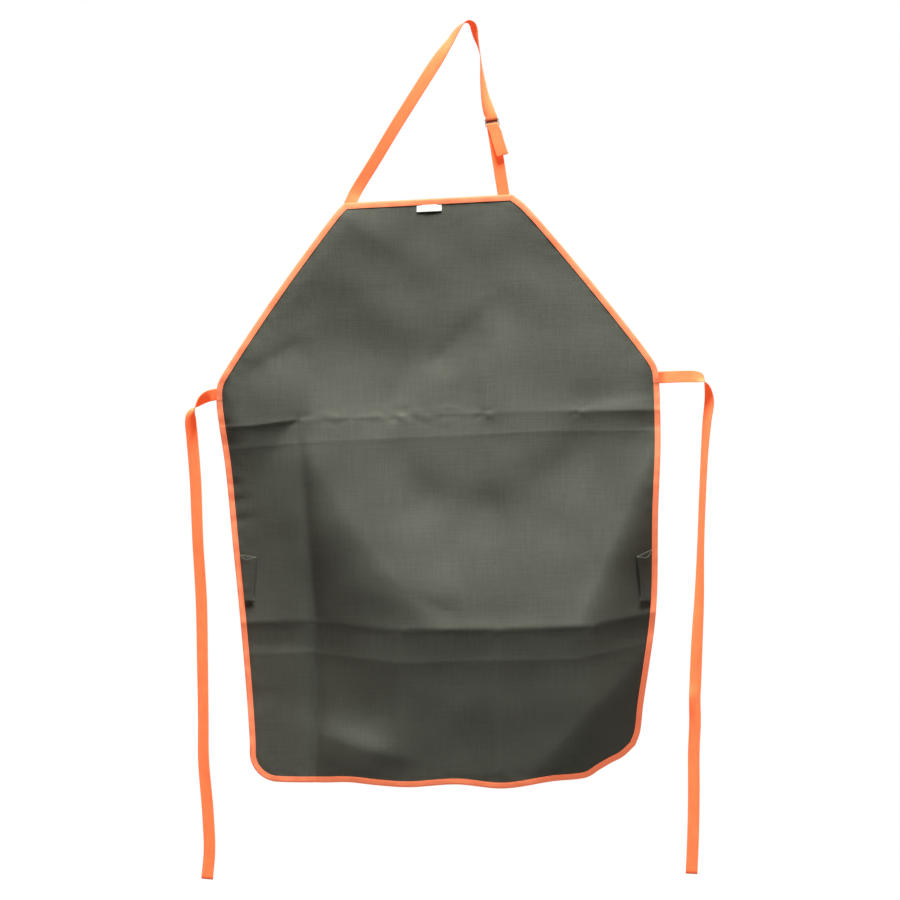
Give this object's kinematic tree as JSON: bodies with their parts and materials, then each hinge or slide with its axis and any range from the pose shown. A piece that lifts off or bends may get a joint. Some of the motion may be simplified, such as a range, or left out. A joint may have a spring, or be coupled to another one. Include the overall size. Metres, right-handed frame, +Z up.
{
  "type": "hunting apron",
  "caption": "Bib apron of olive coated cloth with orange tape binding, an adjustable neck strap on a metal slider, waist ties and cloth side loops, shown hanging.",
  "frame": {"origin": "underside of the neck strap at its highest point, where the apron hangs", "axes": "+Z up the hanging apron, +X to the right as seen from the front, +Y away from the viewer, square to the cloth"},
  "size_m": [0.9003, 0.1153, 1.4603],
  "materials": {
    "coated_cloth": "olive-grey coated plain weave, matt with a faint sheen",
    "orange_tape": "orange woven binding tape",
    "orange_webbing": "orange woven webbing",
    "nickel": "bright nickel plate",
    "white_woven": "white woven label, bare"
  },
  "bodies": {
    "root": {"apron_body": "coated_cloth", "bib_binding": "orange_tape", "skirt_binding": "orange_tape", "neck_strap": "orange_webbing", "short_strap": "orange_webbing", "tie_left": "orange_webbing", "tie_right": "orange_webbing", "strap_slider": "nickel", "side_loop_left": "coated_cloth", "side_loop_right": "coated_cloth", "label": "white_woven"}
  },
  "joints": []
}
